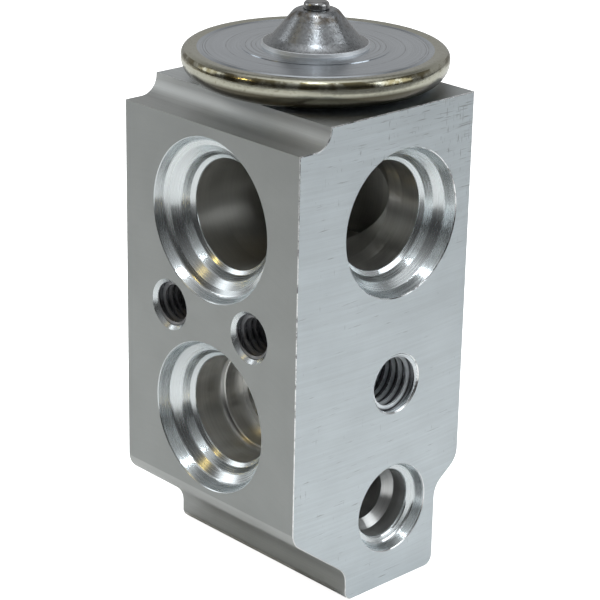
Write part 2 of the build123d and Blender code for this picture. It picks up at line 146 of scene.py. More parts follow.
def allOf(tree, *masks):
    result = masks[0]
    for mask in masks[1:]:
        result = sums(tree, "MULTIPLY", result, mask)
    return result


def anyOf(tree, *masks):
    result = masks[0]
    for mask in masks[1:]:
        result = sums(tree, "MAXIMUM", result, mask)
    return result


def without(tree, mask):
    return sums(tree, "SUBTRACT", 1.0, mask)


def above(tree, value, limit):
    return sums(tree, "GREATER_THAN", value, limit)


def below(tree, value, limit):
    return sums(tree, "LESS_THAN", value, limit)


def between(tree, value, span):
    return allOf(tree, above(tree, value, span[0]), below(tree, value, span[1]))


def remap(tree, value, span, newSpan=(0.0, 1.0)):
    return put(tree, "MapRange", {"Value": value, "From Min": span[0], "From Max": span[1],
                                  "To Min": newSpan[0], "To Max": newSpan[1]})


def spread(tree, noise, newSpan):
    # Noise keeps to the middle of its range, so that part is stretched out
    return remap(tree, noise, (0.3, 0.7), newSpan)


# The mix node has a set of slots for each kind of data under the same names, so these go by number

def blendColours(tree, factor, first, second):
    return put(tree, "Mix", {0: factor, 6: first, 7: second}, out=2, data_type="RGBA")


def blendValues(tree, factor, first, second):
    return put(tree, "Mix", {0: factor, 2: first, 3: second}, data_type="FLOAT")


def blendVectors(tree, factor, first, second):
    return put(tree, "Mix", {0: factor, 4: first, 5: second}, out=1, data_type="VECTOR")


def newGroup(name, takes, gives):
    tree = bpy.data.node_groups.new(name, "ShaderNodeTree")
    for label, kind, value in takes:
        socket = tree.interface.new_socket(label, in_out="INPUT", socket_type="NodeSocket" + kind)
        if value is not None:
            socket.default_value = value
    for label, kind in gives:
        tree.interface.new_socket(label, in_out="OUTPUT", socket_type="NodeSocket" + kind)
    entry = tree.nodes.new("NodeGroupInput")
    result = tree.nodes.new("NodeGroupOutput")
    return tree, entry.outputs, result.inputs


def useGroup(tree, group, **inputs):
    node = tree.nodes.new("ShaderNodeGroup")
    node.node_tree = group
    feed(tree, node, inputs.items())
    return node.outputs


def makeMaterial(name):
    material = bpy.data.materials.new(name)
    material.use_nodes = True
    tree = material.node_tree
    return material, tree, tree.nodes["Principled BSDF"]


def placeInMillimetres(tree):
    return scaled(tree, put(tree, "TexCoord", out="Object"), 1 / mm)


def bump(tree, height, strength, distance, normal=None):
    return put(tree, "Bump", {"Strength": strength, "Distance": distance * mm, "Height": height,
                              "Normal": normal})


def stretchHighlights(tree, shader, run, amount):
    # Highlights stretch across the tool marks, so the marks' run is crossed with the surface's normal
    facing = put(tree, "NewGeometry", out="Normal")
    stretch = vectors(tree, "NORMALIZE", vectors(tree, "CROSS_PRODUCT", facing, run))
    tree.links.new(stretch, shader.inputs["Tangent"])
    shader.inputs["Anisotropic"].default_value = amount


# Shared effects

def makeFineLines():
    # Long scratches that run along one direction: Across is counted in line widths
    tree, entry, result = newGroup(
        "fineLines",
        [("Across", "Float", 0.0), ("Along", "Float", 0.0), ("Side", "Float", 0.0),
         ("Detail", "Float", 3.0)],
        [("Lines", "Float")])
    place = put(tree, "CombineXYZ", [entry["Across"], entry["Along"], entry["Side"]])
    lines = put(tree, "TexNoise", {"Vector": place, "Scale": 1.0, "Detail": entry["Detail"],
                                   "Roughness": 0.6}, noise_dimensions="3D")
    tree.links.new(lines, result["Lines"])
    return tree


def makeEdgeWearAndHighlight():
    # Normals rounded over the edges, and a broken bright mask where an edge is, for worn metal and a
    # painted highlight
    edgeFacing = (0.995, 0.85)
    unbroken = (0.35, 0.6)
    tree, entry, result = newGroup(
        "edgeWearAndHighlight",
        [("Position", "Vector", None), ("Radius", "Float", 0.12 * mm), ("Breaks", "Float", 0.5)],
        [("WearAndHighlight", "Float"), ("Normal", "Vector")])
    rounded = put(tree, "Bevel", {"Radius": entry["Radius"]}, samples=6)
    flat = put(tree, "NewGeometry", out="Normal")
    edge = remap(tree, vectors(tree, "DOT_PRODUCT", rounded, flat, out="Value"), edgeFacing)
    noise = put(tree, "TexNoise", {"Vector": entry["Position"], "Scale": 0.9, "Detail": 3.0})
    kept = remap(tree, noise, unbroken, (without(tree, entry["Breaks"]), 1.0))
    tree.links.new(sums(tree, "MULTIPLY", edge, kept), result["WearAndHighlight"])
    tree.links.new(rounded, result["Normal"])
    return tree


def makeMottle():
    # Soft uneven patches of shade, Size across in millimetres
    tree, entry, result = newGroup(
        "mottle", [("Position", "Vector", None), ("Size", "Float", 5.0)], [("Patches", "Float")])
    scale = sums(tree, "DIVIDE", 1.0, entry["Size"])
    patches = put(tree, "TexNoise", {"Vector": entry["Position"], "Scale": scale, "Detail": 4.0,
                                     "Roughness": 0.55})
    tree.links.new(patches, result["Patches"])
    return tree


fineLines = makeFineLines()
edgeWearAndHighlight = makeEdgeWearAndHighlight()
mottle = makeMottle()
print("shared effects made")


# Valve body: one block with four finishes. All settings of the valve are in millimetres

body = {
    # Planes and corners of the block
    "sawnX": 16.65, "frontY": -18.2, "backY": 12.55, "topZ": 66.6, "skin": 0.02,
    "nose": (-13.0, 63.85), "legFront": (-8.35, 13.3), "legBack": (8.25, 16.4),
    # Heights of the bores on each face, and the heights that part them
    "frontPorts": (51.4, 24.1), "frontSplit": 37.75,
    "sidePorts": (51.4, 29.25, 11.2), "sideSplits": (38.0, 20.3),
    # How far the outlet and the screw holes reach
    "outletSpan": (18.8, 34.0), "clampEnd": 5.4, "clampSide": -4.4, "clampHalf": 4.5,
    "flangeHalf": 3.7, "flangeInner": 4.0, "holeDepth": 0.6,
    "boredDepth": (4.3, 2.2), "stepDepth": (8.42, 8.80), "stepEnd": 8.89,
    # Colours
    "sawnColour": (0.60, 0.648, 0.672, 1), "frontColour": (0.40, 0.416, 0.411, 1),
    # The top face's colour is a lighter copy of the drawn colour: painted light
    "drawnColour": (0.55, 0.565, 0.56, 1), "topColour": (0.70, 0.73, 0.74, 1),
    # The turned colour is the turned metal with a blue tint that is a painted reflection
    "turnedColour": (0.72, 0.76, 0.775, 1), "holeShadeColour": (0.24, 0.245, 0.255, 1),
    # Each bore's colour is a lighter or darker copy of the bored finish: painted light and shade
    "suctionInShadeColour": (0.36, 0.357, 0.335, 1), "suctionOutLitColour": (0.62, 0.615, 0.585, 1),
    "outletBoreLitColour": (0.84, 0.84, 0.82, 1), "inletBoreLitColour": (0.60, 0.605, 0.60, 1),
    # The step colour is painted shade
    "stepShadeColour": (0.34, 0.34, 0.33, 1),
    # Gloss
    "sawnRoughness": 0.44, "frontRoughness": 0.42, "drawnRoughness": 0.47, "turnedRoughness": 0.25,
    "boredRoughness": 0.32, "suctionInRoughness": 0.52, "lineRoughness": (-0.03, 0.05), "anisotropy": 0.7,
    # Shade and relief of the tool marks and patches
    "lineShade": (0.93, 1.05), "frontShade": (0.97, 1.03), "patchShade": (0.95, 1.04), "patchSize": 9.0,
    "sawnRelief": 0.6, "drawnRelief": 0.2, "turnedRelief": 0.05, "bumpStrength": 0.35, "bumpHeight": 0.03,
    "toolMarks": {
        "sawPitch": 0.34, "sawArc": 240.0, "sawTilt": 0.01, "sawAlong": 0.07,
        "millPitch": 0.45, "millArc": 52.0, "millCentre": -8.0, "millAlong": 0.06,
        "drawPitch": 0.22, "drawAlong": 0.03,
        "turnPitch": 0.30, "turnSlope": 0.7, "turnLength": 3.0,
    },
    "nicks": {
        "nickScale": (0.34, 5.5), "pitScale": (4.5, 0.7), "pitDrop": 0.03,
        "crowdRise": (44.0, 66.0), "crowdBack": (-16.0, 11.0), "crowdLeast": 0.15, "crowdGain": 0.10,
        "patchSpan": (0.45, 0.75), "patchGain": 0.06,
        "limits": (0.70, 0.81), "strength": 0.5, "colour": (0.10, 0.105, 0.11, 1),
    },
    "edgeHighlight": {
        "width": 0.14, "scale": 0.55, "limits": (0.49, 0.60), "rise": (22.0, 34.0), "least": 0.25,
        "bright": (0.95, 0.96, 0.97, 1), "dark": (0.24, 0.24, 0.25, 1),
    },
}


def findFinishes(tree, axes, s):
    x, y, z = axes
    sideward = sums(tree, "ABSOLUTE", x)
    sawn = above(tree, sideward, s["sawnX"] - s["skin"])
    top = above(tree, z, s["topZ"] - s["skin"])
    back = above(tree, y, s["backY"] - s["skin"])
    foot = below(tree, z, s["skin"])
    cove = allOf(tree, below(tree, y, s["nose"][0] + s["skin"]), above(tree, z, s["nose"][1] - s["skin"]))
    legFront = allOf(tree, below(tree, y, s["legFront"][0]), below(tree, z, s["legFront"][1]))
    legBack = allOf(tree, above(tree, y, s["legBack"][0]), below(tree, z, s["legBack"][1]))
    nearSawn = above(tree, sideward, s["sawnX"] - s["edgeHighlight"]["width"])
    return {
        "sawn": sawn,
        "front": below(tree, y, s["frontY"] + s["skin"]),
        "top": top,
        "drawn": anyOf(tree, top, back, cove, legFront, legBack, foot),
        "edge": allOf(tree, nearSawn, without(tree, sawn)),
    }


def findBores(tree, axes, s):
    # Which bore the surface belongs to, its depth there and its place about the bore's axis
    x, y, z = axes
    upperFront = above(tree, z, s["frontSplit"])
    frontHeight = blendValues(tree, upperFront, s["frontPorts"][1], s["frontPorts"][0])
    upperSide = above(tree, z, s["sideSplits"][0])
    sideHeight = blendValues(tree, upperSide, s["sidePorts"][1], s["sidePorts"][0])
    sideHeight = blendValues(tree, above(tree, z, s["sideSplits"][1]), s["sidePorts"][2], sideHeight)
    frontDepth = sums(tree, "SUBTRACT", y, s["frontY"])
    sideDepth = sums(tree, "SUBTRACT", s["sawnX"], x)
    pastClamp = anyOf(tree, below(tree, x, s["clampEnd"]), below(tree, y, s["clampSide"]))
    outletInside = allOf(tree, between(tree, z, s["outletSpan"]), pastClamp)
    fromFront = anyOf(tree, below(tree, frontDepth, sideDepth), outletInside)
    fromSide = without(tree, fromFront)
    height = sums(tree, "SUBTRACT", z, blendValues(tree, fromFront, sideHeight, frontHeight))
    across = blendValues(tree, fromFront, y, x)
    depth = blendValues(tree, fromFront, sideDepth, frontDepth)
    smallPort = allOf(tree, below(tree, z, s["sideSplits"][1]), fromSide)

    # The screw holes lie between the ports
    beside = above(tree, sums(tree, "ABSOLUTE", x), s["flangeInner"])
    level = below(tree, apart(tree, z, s["frontSplit"]), s["flangeHalf"])
    flangeHole = allOf(tree, fromFront, level, beside)
    clampHole = allOf(tree, fromSide, below(tree, apart(tree, z, s["sidePorts"][1]), s["clampHalf"]))
    return {
        "fromFront": fromFront, "fromSide": fromSide,
        "height": height, "across": across, "depth": depth, "radius": fromAxis(tree, across, height),
        "suctionIn": allOf(tree, fromFront, upperFront),
        "lowerFront": allOf(tree, fromFront, below(tree, z, s["frontSplit"])),
        "smallPort": smallPort,
        "bored": above(tree, depth, blendValues(tree, smallPort, *s["boredDepth"])),
        # The screw holes past their mouths, which get painted shade
        "hole": allOf(tree, anyOf(tree, flangeHole, clampHole), above(tree, depth, s["holeDepth"])),
    }


def sawLines(tree, axes, s):
    # Slightly curved and nearly level
    x, y, z = axes
    bow = sums(tree, "DIVIDE", sums(tree, "MULTIPLY", y, y), 2 * s["sawArc"])
    level = sums(tree, "SUBTRACT", z, sums(tree, "MULTIPLY", y, s["sawTilt"]))
    across = sums(tree, "DIVIDE", sums(tree, "SUBTRACT", level, bow), s["sawPitch"])
    along = sums(tree, "MULTIPLY", y, s["sawAlong"])
    return useGroup(tree, fineLines, Across=across, Along=along, Side=x, Detail=4.0)["Lines"]


def millLines(tree, axes, s):
    # Arcs of a face cutter fed up the block
    x, _, z = axes
    offCentre = sums(tree, "POWER", sums(tree, "SUBTRACT", x, s["millCentre"]), 2.0)
    reach = sums(tree, "SUBTRACT", s["millArc"] ** 2, offCentre)
    arc = sums(tree, "SQRT", sums(tree, "MAXIMUM", reach, 1.0))
    across = sums(tree, "DIVIDE", sums(tree, "SUBTRACT", z, arc), s["millPitch"])
    along = sums(tree, "MULTIPLY", x, s["millAlong"])
    return useGroup(tree, fineLines, Across=across, Along=along, Side=3.0, Detail=3.0)["Lines"]


def drawLines(tree, axes, s):
    # The die drew them along the block
    x, y, z = axes
    across = sums(tree, "DIVIDE", sums(tree, "ADD", y, z), s["drawPitch"])
    along = sums(tree, "MULTIPLY", x, s["drawAlong"])
    side = sums(tree, "SUBTRACT", y, z)
    return useGroup(tree, fineLines, Across=across, Along=along, Side=side, Detail=3.0)["Lines"]


def turnLines(tree, bores, s):
    # Rings about the bore, counted by depth less radius, so that its cones and shoulders have them too
    inwards = sums(tree, "MULTIPLY", bores["radius"], s["turnSlope"])
    profile = sums(tree, "SUBTRACT", bores["depth"], inwards)
    across = sums(tree, "DIVIDE", profile, s["turnPitch"])
    reach = sums(tree, "MULTIPLY", bores["radius"], s["turnLength"])
    along = sums(tree, "DIVIDE", bores["across"], reach)
    side = sums(tree, "DIVIDE", bores["height"], reach)
    return useGroup(tree, fineLines, Across=across, Along=along, Side=side, Detail=1.5)["Lines"]


def mixBoreLightAndShade(tree, bores, s):
    # Lighter and darker copies of one bored colour, port by port: painted light and shade
    colour = blendColours(tree, bores["fromFront"], s["suctionOutLitColour"], s["suctionInShadeColour"])
    colour = blendColours(tree, bores["lowerFront"], colour, s["outletBoreLitColour"])
    colour = blendColours(tree, bores["smallPort"], colour, s["inletBoreLitColour"])
    # A darker band just before the outlet's step: painted shade
    towardsStep = remap(tree, bores["depth"], s["stepDepth"])
    step = allOf(tree, bores["lowerFront"], towardsStep, below(tree, bores["depth"], s["stepEnd"]))
    return blendColours(tree, step, colour, s["stepShadeColour"])


def nickMask(tree, axes, sawn, patches, s):
    # Short dark nicks along the saw lines and pits across them, most of them high up at the back
    x, y, z = axes
    noises = []
    for scale in (s["nickScale"], s["pitScale"]):
        place = put(tree, "CombineXYZ", [sums(tree, "MULTIPLY", y, scale[0]),
                                         sums(tree, "MULTIPLY", z, scale[1]), x])
        noises.append(put(tree, "TexNoise", {"Vector": place, "Scale": 1.0, "Detail": 2.0}))
    strongest = sums(tree, "MAXIMUM", noises[0], sums(tree, "SUBTRACT", noises[1], s["pitDrop"]))
    rise = remap(tree, z, s["crowdRise"])
    crowd = sums(tree, "MULTIPLY", rise, remap(tree, y, s["crowdBack"], (s["crowdLeast"], 1.0)))
    crowd = sums(tree, "MULTIPLY", crowd, s["crowdGain"])
    crowd = sums(tree, "ADD", crowd, remap(tree, patches, s["patchSpan"], (0.0, s["patchGain"])))
    cut = remap(tree, sums(tree, "ADD", strongest, crowd), s["limits"], (0.0, s["strength"]))
    return sums(tree, "MULTIPLY", sawn, cut)


def mixEdgeColour(tree, place, z, s):
    # The edge of the sawn ends: a painted highlight line with dark breaks, fewer breaks low down
    dashes = put(tree, "TexNoise", {"Vector": scaled(tree, place, s["scale"]), "Scale": 1.0,
                                    "Detail": 4.0, "Roughness": 0.7})
    breaks = sums(tree, "MULTIPLY", remap(tree, dashes, s["limits"]),
                  remap(tree, z, s["rise"], (s["least"], 1.0)))
    return blendColours(tree, breaks, s["bright"], s["dark"])


def makeBodyMaterial(s):
    material, tree, shader = makeMaterial("machinedAluminium")
    place = placeInMillimetres(tree)
    axes = splitAxes(tree, place)
    finish = findFinishes(tree, axes, s)
    bores = findBores(tree, axes, s)
    sawn, front, drawn = finish["sawn"], finish["front"], finish["drawn"]
    marks, nicks = s["toolMarks"], s["nicks"]
    patches = useGroup(tree, mottle, Position=place, Size=s["patchSize"])["Patches"]
    lines = blendValues(tree, drawn, turnLines(tree, bores, marks), drawLines(tree, axes, marks))
    lines = blendValues(tree, front, lines, millLines(tree, axes, marks))
    lines = blendValues(tree, sawn, lines, sawLines(tree, axes, marks))

    # Colour of each finish, one over the other, shaded by its marks; the top face gets a lighter copy of
    # the drawn colour as painted light
    # The bored surfaces take these copies: painted light and shade
    colour = blendColours(tree, bores["bored"], s["turnedColour"], mixBoreLightAndShade(tree, bores, s))
    # Deeper in the screw holes the colour is painted shade
    colour = blendColours(tree, bores["hole"], colour, s["holeShadeColour"])
    for name in ("drawn", "top", "front", "sawn"):
        colour = blendColours(tree, finish[name], colour, s[name + "Colour"])
    frontShade = spread(tree, lines, s["frontShade"])
    shade = blendValues(tree, front, spread(tree, lines, s["lineShade"]), frontShade)
    shade = sums(tree, "MULTIPLY", shade, spread(tree, patches, s["patchShade"]))
    colour = scaled(tree, colour, shade)
    colour = blendColours(tree, nickMask(tree, axes, sawn, patches, nicks), colour, nicks["colour"])
    # The sawn ends' edges get a painted highlight line
    edgeColour = mixEdgeColour(tree, place, axes[2], s["edgeHighlight"])
    colour = blendColours(tree, finish["edge"], colour, edgeColour)
    tree.links.new(colour, shader.inputs["Base Color"])

    # Roughness and relief
    roughness = blendValues(tree, bores["suctionIn"], s["boredRoughness"], s["suctionInRoughness"])
    roughness = blendValues(tree, bores["bored"], s["turnedRoughness"], roughness)
    for name in ("drawn", "front", "sawn"):
        roughness = blendValues(tree, finish[name], roughness, s[name + "Roughness"])
    roughness = sums(tree, "ADD", roughness, spread(tree, lines, s["lineRoughness"]))
    tree.links.new(roughness, shader.inputs["Roughness"])
    relief = blendValues(tree, drawn, s["turnedRelief"], s["drawnRelief"])
    relief = sums(tree, "MULTIPLY", lines, blendValues(tree, sawn, relief, s["sawnRelief"]))
    tree.links.new(bump(tree, relief, s["bumpStrength"], s["bumpHeight"]), shader.inputs["Normal"])

    # The tool marks run round the bores, along Y on the sawn ends and along X elsewhere
    offAxis = put(tree, "CombineXYZ", [sums(tree, "MULTIPLY", bores["across"], bores["fromFront"]),
                                       sums(tree, "MULTIPLY", bores["across"], bores["fromSide"]),
                                       bores["height"]])
    boreAxis = put(tree, "CombineXYZ", [bores["fromSide"], bores["fromFront"], 0.0])
    run = vectors(tree, "CROSS_PRODUCT", boreAxis, offAxis)
    run = blendVectors(tree, anyOf(tree, front, drawn), run, (1, 0, 0))
    run = blendVectors(tree, sawn, run, (0, 1, 0))
    stretchHighlights(tree, shader, run, s["anisotropy"])
    shader.inputs["Metallic"].default_value = 1.0
    return material


dress(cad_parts["valve_body"], makeBodyMaterial(body))
print("body finished")


# Head: rolled rim with a painted dark reflection band and painted shade beneath, spun flat, speckled drawn
# cone

head = {
    # Where each finish lies
    "beadRadius": 15.4, "coneFoot": 7.05, "footRadius": 6.85,
    "bandSpan": (70.2, 71.05), "underShadeSpan": (69.0, 69.5), "flatBottom": 67.4, "stainRise": (73.8, 75.6),
    # Colours
    "rimColour": (0.50, 0.495, 0.41, 1), "bandColour": (0.19, 0.168, 0.10, 1),
    "underShadeColour": (0.09, 0.082, 0.06, 1), "flatColour": (0.58, 0.62, 0.66, 1),
    "lineColour": (0.16, 0.17, 0.18, 1), "coneColour": (0.33, 0.345, 0.36),
    "stainColour": (0.13, 0.10, 0.065, 1), "footColour": (0.80, 0.82, 0.84, 1),
    # Rings and single lines of the spun flat
    "spinPitch": 0.22, "ringShade": (0.91, 1.06), "lineRadii": (14.62, 14.3, 11.6, 9.1, 8.35, 7.75),
    "lineWidth": 0.09, "lineSpan": (0.35, 0.6), "lineStrength": (0.15, 0.75),
    # Blotches, specks and stain
    "patchSize": 2.2, "blotchSpan": (0.40, 0.56), "speckSpan": (0.56, 0.70), "speckStrength": 0.5,
    "coneSpan": (0.35, 0.62), "coneShade": (0.80, 1.12), "stainSpan": (0.50, 0.62), "stainStrength": 0.8,
    # Gloss and relief
    "rimRoughness": 0.18, "flatRoughness": 0.23, "coneRoughness": 0.27, "footRoughness": 0.6,
    "unevenness": (-0.04, 0.08), "anisotropy": 0.5,
    "flatRelief": 0.06, "rimRelief": 0.5, "coneRelief": 1.3, "bumpStrength": 0.4, "bumpHeight": 0.05,
    "peelNoise": {"Scale": 2.6, "Detail": 3.0, "Roughness": 0.65},
}


def mixRimColour(tree, z, rim, peel, patches, s):
    # A dark mottled band between its top edge and the weld, a painted reflection, and painted shade below
    band = allOf(tree, rim, between(tree, z, s["bandSpan"]), remap(tree, patches, s["blotchSpan"]))
    # Painted shade on the rim's downward-facing underside, above its flat bottom
    underShade = allOf(tree, rim, without(tree, remap(tree, z, s["underShadeSpan"])), above(tree, z, s["flatBottom"]))
    specks = sums(tree, "MULTIPLY", rim, remap(tree, peel, s["speckSpan"], (0.0, s["speckStrength"])))
    colour = blendColours(tree, band, s["rimColour"], s["bandColour"])
    colour = blendColours(tree, specks, colour, s["bandColour"])
    return blendColours(tree, underShade, colour, s["underShadeColour"])


def mixFlatColour(tree, radius, flat, rings, patches, s):
    # Single lines that the spinning tool left, over its fine rings
    lines = 0.0
    for lineRadius in s["lineRadii"]:
        line = remap(tree, apart(tree, radius, lineRadius), (0.0, s["lineWidth"]), (1.0, 0.0))
        lines = sums(tree, "MAXIMUM", lines, line)
    strength = sums(tree, "MULTIPLY", flat, remap(tree, patches, s["lineSpan"], s["lineStrength"]))
    lines = sums(tree, "MULTIPLY", lines, strength)
    colour = blendColours(tree, lines, s["flatColour"], s["lineColour"])
    return scaled(tree, colour, spread(tree, rings, s["ringShade"]))


def mixConeColour(tree, z, peel, patches, s):
    # Specks all over, brown stain towards its crown
    colour = scaled(tree, s["coneColour"], remap(tree, peel, s["coneSpan"], s["coneShade"]))
    blotches = remap(tree, patches, s["stainSpan"], (0.0, s["stainStrength"]))
    stain = sums(tree, "MULTIPLY", remap(tree, z, s["stainRise"]), blotches)
    return blendColours(tree, stain, colour, s["stainColour"])


def makeHeadMaterial(s):
    material, tree, shader = makeMaterial("drawnHeadSteel")
    place = placeInMillimetres(tree)
    x, y, z = splitAxes(tree, place)
    radius = fromAxis(tree, x, y)
    rim = above(tree, radius, s["beadRadius"])
    cone = below(tree, radius, s["coneFoot"])
    flat = without(tree, anyOf(tree, rim, cone))
    foot = allOf(tree, above(tree, radius, s["footRadius"]), cone)   # The low step round the cone is duller
    rings = useGroup(tree, fineLines, Across=sums(tree, "DIVIDE", radius, s["spinPitch"]),
                     Along=sums(tree, "DIVIDE", x, radius), Side=sums(tree, "DIVIDE", y, radius),
                     Detail=3.0)["Lines"]
    peel = put(tree, "TexNoise", {"Vector": place, **s["peelNoise"]})
    patches = useGroup(tree, mottle, Position=place, Size=s["patchSize"])["Patches"]

    flatColour = mixFlatColour(tree, radius, flat, rings, patches, s)
    colour = blendColours(tree, rim, flatColour, mixRimColour(tree, z, rim, peel, patches, s))
    colour = blendColours(tree, cone, colour, mixConeColour(tree, z, peel, patches, s))
    colour = blendColours(tree, foot, colour, s["footColour"])
    tree.links.new(colour, shader.inputs["Base Color"])

    roughness = blendValues(tree, rim, s["flatRoughness"], s["rimRoughness"])
    roughness = blendValues(tree, cone, roughness, s["coneRoughness"])
    roughness = blendValues(tree, foot, roughness, s["footRoughness"])
    unevenness = sums(tree, "MULTIPLY", spread(tree, peel, s["unevenness"]), without(tree, flat))
    tree.links.new(sums(tree, "ADD", roughness, unevenness), shader.inputs["Roughness"])

    flatRelief = sums(tree, "MULTIPLY", rings, s["flatRelief"])
    relief = blendValues(tree, rim, flatRelief, sums(tree, "MULTIPLY", peel, s["rimRelief"]))
    relief = blendValues(tree, cone, relief, sums(tree, "MULTIPLY", peel, s["coneRelief"]))
    tree.links.new(bump(tree, relief, s["bumpStrength"], s["bumpHeight"]), shader.inputs["Normal"])
    run = put(tree, "CombineXYZ", [sums(tree, "MULTIPLY", y, -1.0), x, 0.0])
    stretchHighlights(tree, shader, run, s["anisotropy"])
    shader.inputs["Metallic"].default_value = 1.0
    return material


headSteel = makeHeadMaterial(head)
for name in ("head_upper_cover", "head_lower_cover"):
    dress(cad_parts[name], headSteel)
print("head finished")


# The other pieces: one plain machined or moulded finish each, with its own values

finishes = {
    "plugSteel": {"nodes": ["charge_plug"], "colour": (0.33, 0.33, 0.33), "rough": 0.26, "metal": 1.0,
                  "patch": 1.2, "shade": 0.25, "relief": 0.5},
    "springSteel": {"nodes": ["closing_spring", "damping_spring"], "colour": (0.42, 0.41, 0.39),
                    "rough": 0.3, "metal": 1.0, "patch": 1.5, "shade": 0.12, "relief": 0.2},
    "brightSteel": {"nodes": ["operating_rod", "valve_ball", "seal_retainer", "ball_carrier", "diaphragm"],
                    "colour": (0.62, 0.61, 0.59), "rough": 0.18, "metal": 1.0, "patch": 2.0,
                    "shade": 0.1, "relief": 0.15},
    "turnedAluminium": {"nodes": ["sensing_stem", "diaphragm_plate"], "colour": (0.80, 0.81, 0.80),
                        "rough": 0.24, "metal": 1.0, "patch": 3.0, "shade": 0.1, "relief": 0.3},
    "screwBrass": {"nodes": ["adjusting_screw"], "colour": (0.72, 0.52, 0.25), "rough": 0.24,
                   "metal": 1.0, "patch": 2.5, "shade": 0.18, "relief": 0.3},
    "sealRubber": {"nodes": ["head_seal", "stem_seal", "screw_seal"], "colour": (0.012, 0.022, 0.016),
                   "rough": 0.48, "metal": 0.0, "patch": 0.8, "shade": 0.3, "relief": 0.4},
}
wornAndLitEdges = {"radius": 0.06, "breaks": 0.5, "gain": 1.35, "strength": 0.6}
grain = {"scale": 6.0, "height": 0.01, "smoother": 0.04, "rougher": 0.08}


def makeFinish(name, s):
    material, tree, shader = makeMaterial(name)
    place = placeInMillimetres(tree)
    patches = useGroup(tree, mottle, Position=place, Size=s["patch"])["Patches"]
    edges = useGroup(tree, edgeWearAndHighlight, Position=place, Radius=wornAndLitEdges["radius"] * mm,
                     Breaks=wornAndLitEdges["breaks"])
    # Edges lighter: worn metal and a painted highlight
    wornAndLit = [min(1.0, wornAndLitEdges["gain"] * level) for level in s["colour"]]
    wearAndHighlight = sums(tree, "MULTIPLY", edges["WearAndHighlight"], wornAndLitEdges["strength"])
    colour = blendColours(tree, wearAndHighlight, (*s["colour"], 1), (*wornAndLit, 1))
    colour = scaled(tree, colour, spread(tree, patches, (1 - s["shade"], 1 + s["shade"])))
    tree.links.new(colour, shader.inputs["Base Color"])
    roughSpan = (s["rough"] - grain["smoother"], s["rough"] + grain["rougher"])
    tree.links.new(spread(tree, patches, roughSpan), shader.inputs["Roughness"])
    height = put(tree, "TexNoise", {"Vector": place, "Scale": grain["scale"], "Detail": 2.0})
    normal = bump(tree, height, s["relief"], grain["height"], edges["Normal"])
    tree.links.new(normal, shader.inputs["Normal"])
    shader.inputs["Metallic"].default_value = s["metal"]
    return material


for name, s in finishes.items():
    s["material"] = makeFinish(name, s)
    for node in s["nodes"]:
        dress(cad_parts[node], s["material"])
print("inner pieces finished")


# Thread ridges in the three screw holes

ridge = {
    "rootShare": 0.88, "crestShare": 0.24, "sunk": 0.04, "steps": 64,
    "rootEnd": 0.05, "crestStart": 0.3,
}
clampThread = {
    "turnTo": (0, 90, 0), "axis": (1, 0, 0), "major": 4.0, "minor": 3.36, "pitch": 1.25,
    "chamfer": 0.24, "depth": 8.6, "lipDepth": 0.85,
    "litCrestColour": (0.92, 0.97, 1, 1), "shadedRootColour": (0.02, 0.02, 0.025, 1), "roughness": 0.36,
    "metallic": 0.5,
}
flangeThread = {
    "turnTo": (90, 0, 0), "axis": (0, 1, 0), "major": 3.0, "minor": 2.46, "pitch": 1.0,
    "chamfer": 0.5, "depth": 11.0, "lipDepth": 0.3,
    # The fine threads are darker all over: painted shade
    "litCrestColour": (0.30, 0.305, 0.32, 1), "shadedRootColour": (0.20, 0.205, 0.215, 1), "roughness": 0.34,
    "metallic": 0.4,
}
threads = {
    "clamp_thread": {"mouth": (16.65, 0, 29.25), "cut": clampThread},
    "flange_thread_left": {"mouth": (-7.8, -18.2, 37.75), "cut": flangeThread},
    "flange_thread_right": {"mouth": (7.8, -18.2, 37.75), "cut": flangeThread},
}


def makeThreadMaterial(name, mouth, s):
    # Painted highlight on the crests and at the mouth, painted shade towards the roots
    material, tree, shader = makeMaterial(name)
    offset = vectors(tree, "SUBTRACT", placeInMillimetres(tree), mouth)
    depth = sums(tree, "ABSOLUTE", vectors(tree, "DOT_PRODUCT", offset, s["axis"], out="Value"))
    offAxis = vectors(tree, "CROSS_PRODUCT", offset, s["axis"])
    radius = vectors(tree, "LENGTH", offAxis, out="Value")
    crest = remap(tree, radius, (s["major"] - ridge["rootEnd"], s["major"] - ridge["crestStart"]))
    bright = anyOf(tree, crest, below(tree, depth, s["lipDepth"]))
    colour = blendColours(tree, bright, s["shadedRootColour"], s["litCrestColour"])
    tree.links.new(colour, shader.inputs["Base Color"])
    shader.inputs["Roughness"].default_value = s["roughness"]
    shader.inputs["Metallic"].default_value = s["metallic"]
    return material


def makeProfile(name, s):
    # A trapezium beside the Z axis, narrow at its crest
    height = (s["major"] - s["minor"] + ridge["sunk"]) * mm
    middle = (s["major"] + ridge["sunk"]) * mm - height / 2
    deselectAll()
    bpy.ops.mesh.primitive_plane_add(size=1, location=(middle, 0, 0), rotation=(math.pi / 2, 0, 0))
    piece = bpy.context.object
    piece.name = name
    piece.scale = (height, ridge["rootShare"] * s["pitch"] * mm, 1)
    applyPlace(piece)
    for vertex in piece.data.vertices:
        vertex.select = vertex.co.x < middle
    bpy.ops.object.mode_set(mode="EDIT")
    bpy.ops.transform.resize(value=(1, 1, ridge["crestShare"]))
    bpy.ops.mesh.select_all(action="SELECT")
    bpy.ops.mesh.delete(type="ONLY_FACE")
    bpy.ops.object.mode_set(mode="OBJECT")
    return piece


